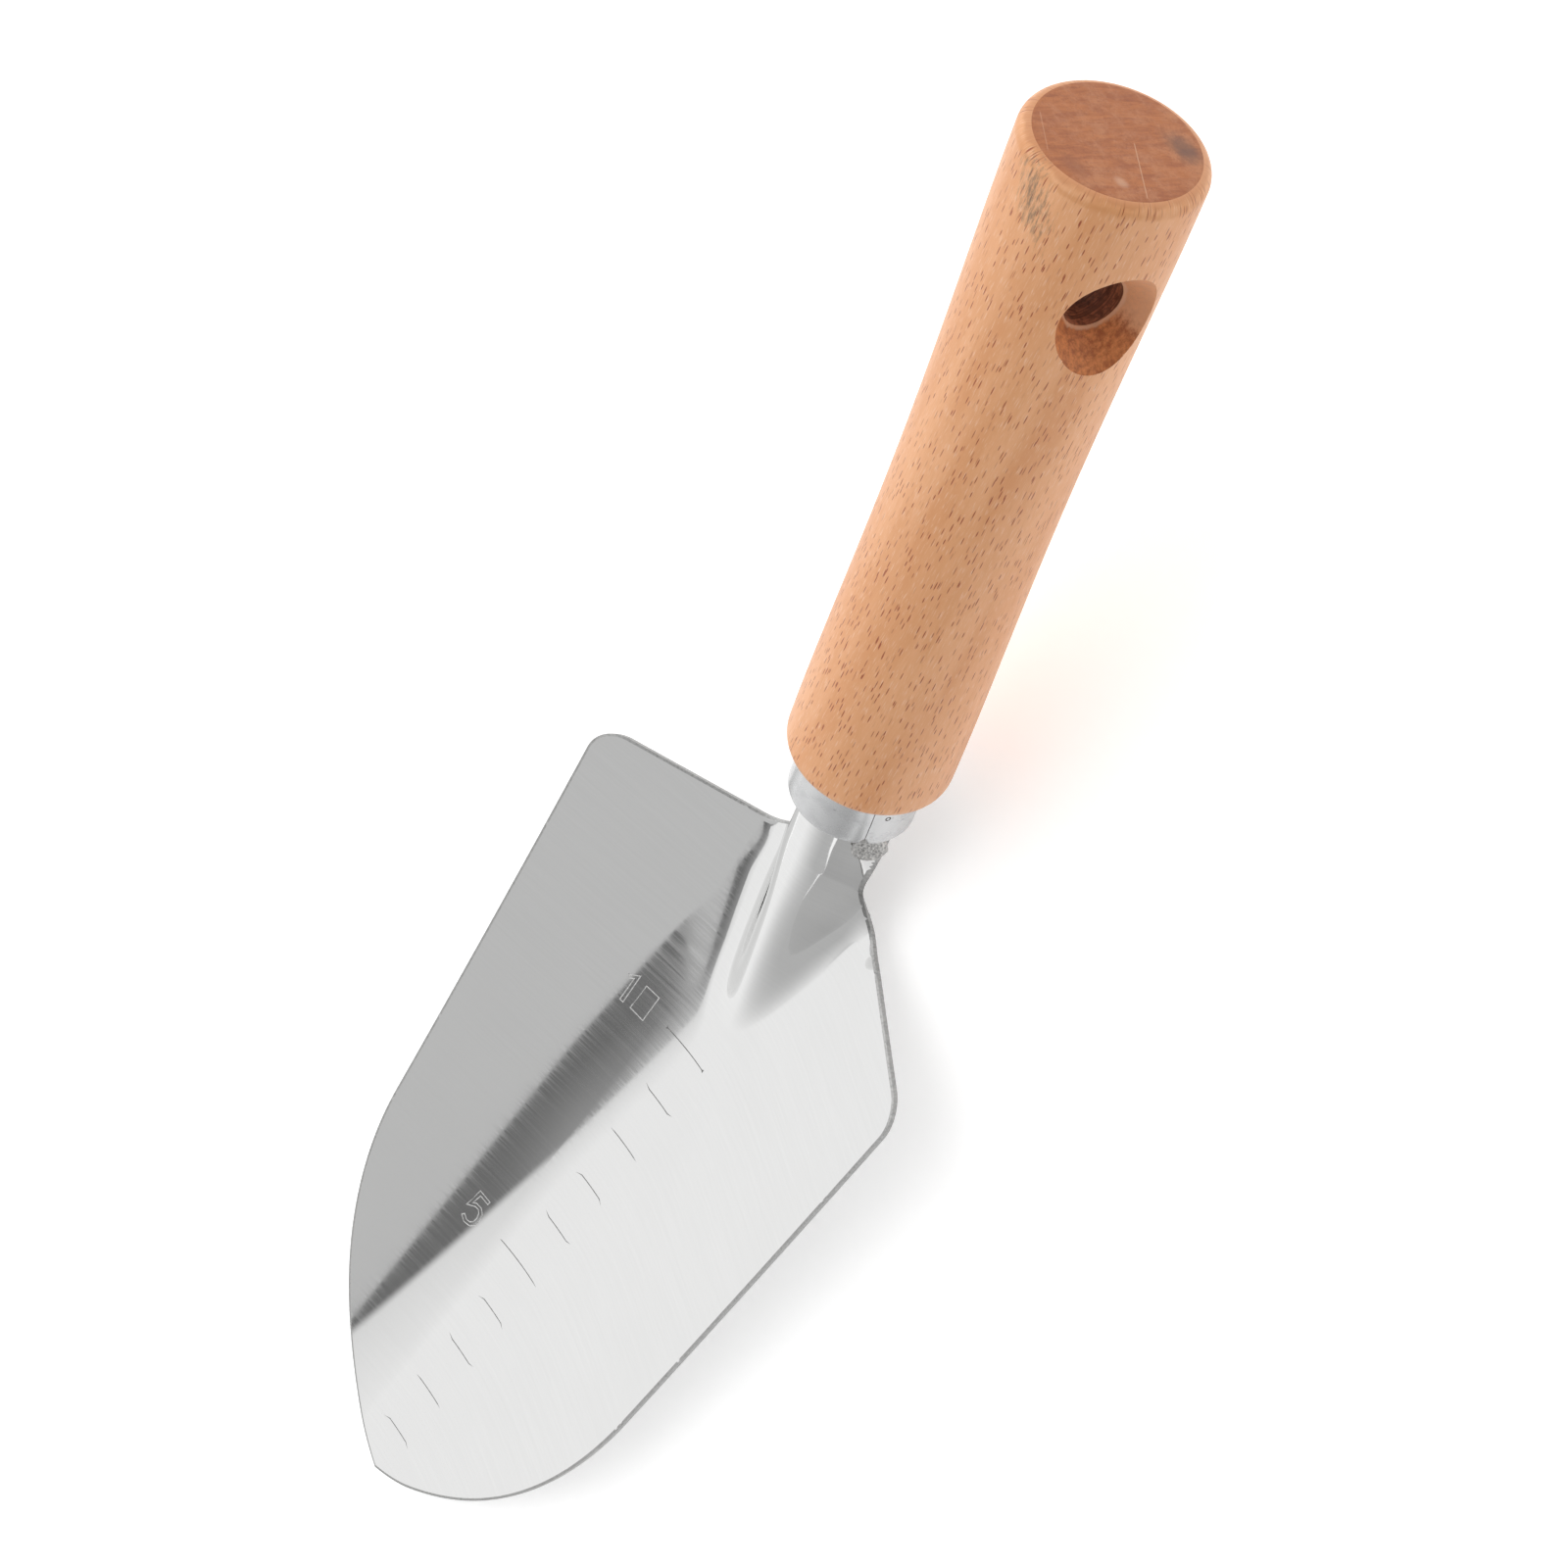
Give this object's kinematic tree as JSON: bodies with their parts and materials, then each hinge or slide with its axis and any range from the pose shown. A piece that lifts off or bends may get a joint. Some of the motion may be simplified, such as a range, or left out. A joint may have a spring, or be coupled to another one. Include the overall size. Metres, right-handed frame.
{
  "type": "hand trowel",
  "caption": "Garden hand trowel: a pointed, dished steel blade with a centimetre scale, cranked up on a ribbed neck to a turned wooden handle with a hang hole.",
  "frame": {"origin": "middle of the trowel's length and width, on the plane that the blade's valley lies on", "axes": "+Y from the blade's point towards the handle, +Z towards the blade's hollow side, +X towards the right wing seen from the point's side with the hollow up"},
  "size_m": [0.081, 0.2766, 0.0745],
  "materials": {
    "blade_steel": "satin, brushed across the blade",
    "ferrule_steel": "dull, rolled",
    "pin_steel": "punched flush",
    "tang_steel": "drawn bar",
    "weld_metal": "rough, as welded",
    "beech": "turned and clear lacquered"
  },
  "bodies": {
    "root": {"blade": "blade_steel", "tang": "tang_steel", "tang_weld": "weld_metal", "neck_tacks": "weld_metal", "ferrule": "ferrule_steel", "ferrule_pin": "pin_steel", "handle": "beech"}
  },
  "joints": []
}
